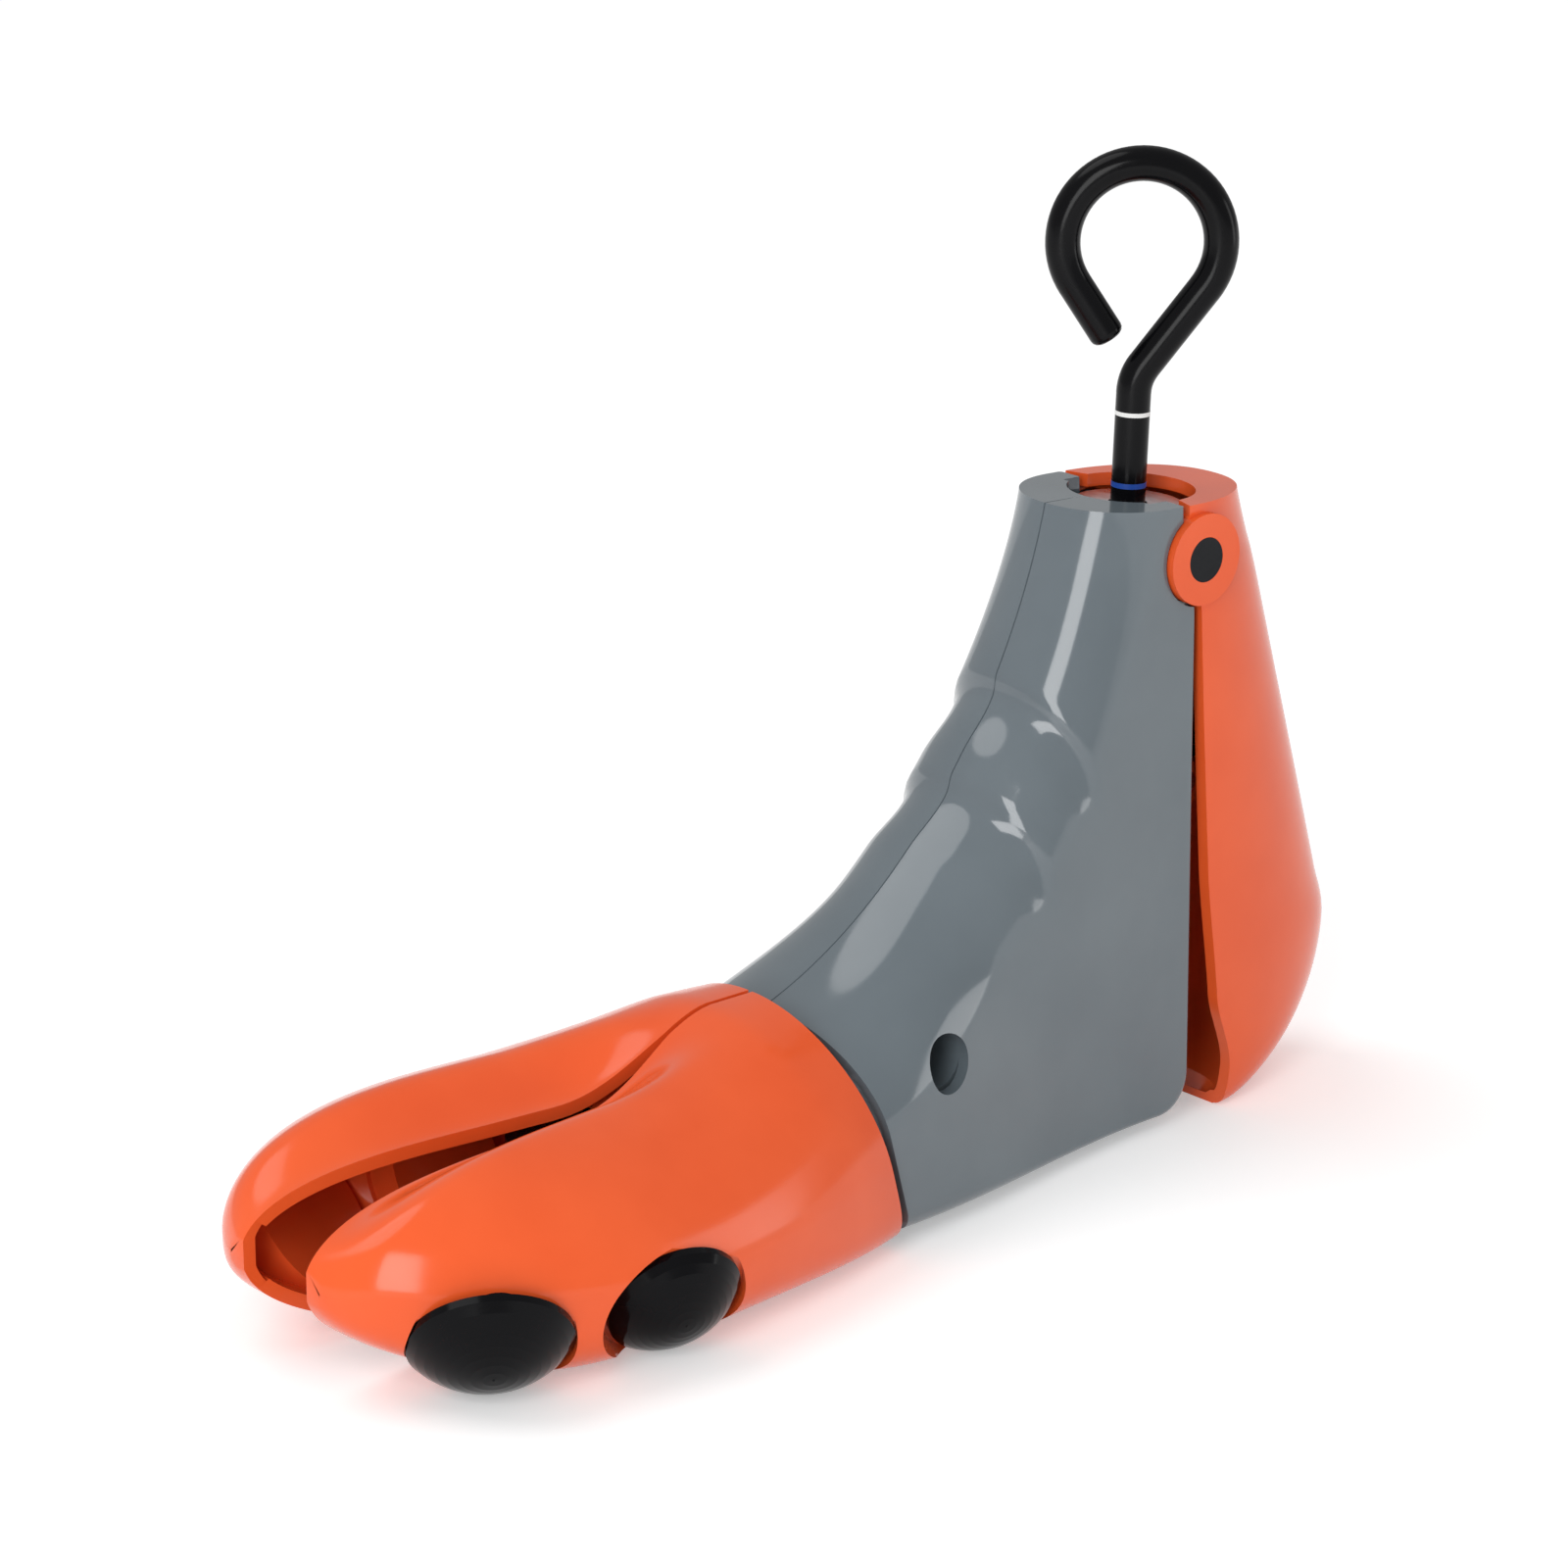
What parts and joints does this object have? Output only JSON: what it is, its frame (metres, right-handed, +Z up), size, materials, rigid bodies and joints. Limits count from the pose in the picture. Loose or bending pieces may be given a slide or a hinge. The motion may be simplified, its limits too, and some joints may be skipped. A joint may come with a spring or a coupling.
{
  "type": "shoe stretcher",
  "caption": "Foot-shaped plastic shoe stretcher: an eye-headed screw in the ankle spreads the toe halves and swings out a heel flap, with domed bunion plugs.",
  "frame": {"origin": "where the screw's axis meets the flat sole of the grey body, on the seam between its two halves", "axes": "+X towards the heel, toes to -X, +Z up, and the side with the bunion plugs to -Y"},
  "size_m": [0.2784, 0.0956, 0.2072],
  "materials": {
    "grey_plastic": "gloss",
    "orange_plastic": "gloss",
    "black_plastic": "gloss",
    "black_metal": "gloss",
    "charcoal_pin": "matt",
    "steel": "brushed"
  },
  "bodies": {
    "body": {"body_right": "grey_plastic", "body_left": "grey_plastic", "body_screw": "steel", "heel_pin_right": "charcoal_pin", "heel_pin_left": "charcoal_pin", "toe_pivot_pin_right": "steel", "toe_pivot_pin_left": "steel", "guide_disc": "steel", "lead_nut": "steel"},
    "drive": {"drive_block": "black_plastic", "thrust_washer": "steel"},
    "screw": {"screw_rod": "black_metal", "thrust_collar": "steel", "retaining_clip": "steel"},
    "heel": {"heel_flap": "orange_plastic", "heel_cam_pin": "steel"},
    "pusher": {"push_bar": "black_plastic", "push_bar_pin": "steel", "spreader": "black_plastic", "spreader_screw": "steel"},
    "toe_near": {"toe_right": "orange_plastic", "toe_cam_pin_right": "steel"},
    "toe_far": {"toe_left": "orange_plastic", "toe_cam_pin_left": "steel"},
    "front_plug": {"plug_front": "black_plastic"},
    "rear_plug": {"plug_rear": "black_plastic"}
  },
  "joints": [
    {"name": "drive_slide", "type": "slide", "parent": "body", "child": "drive", "axis": [-0.0489, 0, -0.9988], "range_m": [0, 0.015]},
    {"name": "screw_turn", "type": "hinge", "parent": "drive", "child": "screw", "pos_m": [0, 0, 0], "axis": [-0.0489, 0, -0.9988], "range_deg": [0, 4320]},
    {"name": "heel_open", "type": "hinge", "parent": "body", "child": "heel", "pos_m": [0.0098, 0, 0.121], "axis": [0, -1, 0], "range_deg": [0, 5]},
    {"name": "push_slide", "type": "slide", "parent": "body", "child": "pusher", "axis": [-1, 0, 0], "range_m": [0, 0.009]},
    {"name": "toe_near_swing", "type": "hinge", "parent": "body", "child": "toe_near", "pos_m": [-0.089, -0.011, 0.02], "axis": [0, 0, 1], "range_deg": [0, 3.5]},
    {"name": "toe_far_swing", "type": "hinge", "parent": "body", "child": "toe_far", "pos_m": [-0.089, 0.011, 0.02], "axis": [0, 0, -1], "range_deg": [0, 3.5]},
    {"name": "front_plug_pull", "type": "slide", "parent": "toe_near", "child": "front_plug", "axis": [-0.4364, -0.6824, -0.5864], "range_m": [0, 0.014]},
    {"name": "rear_plug_pull", "type": "slide", "parent": "toe_near", "child": "rear_plug", "axis": [-0.2364, -0.864, -0.4446], "range_m": [0, 0.014]}
  ],
  "couplings": [
    {"joint": "drive_slide", "follows": "screw_turn", "m_per_rad": 0.00019894},
    {"joint": "heel_open", "follows": "screw_turn", "ratio": 0.0011574},
    {"joint": "push_slide", "follows": "screw_turn", "m_per_rad": 0.00011937},
    {"joint": "toe_near_swing", "follows": "screw_turn", "ratio": 0.00081018},
    {"joint": "toe_far_swing", "follows": "screw_turn", "ratio": 0.00081018}
  ]
}
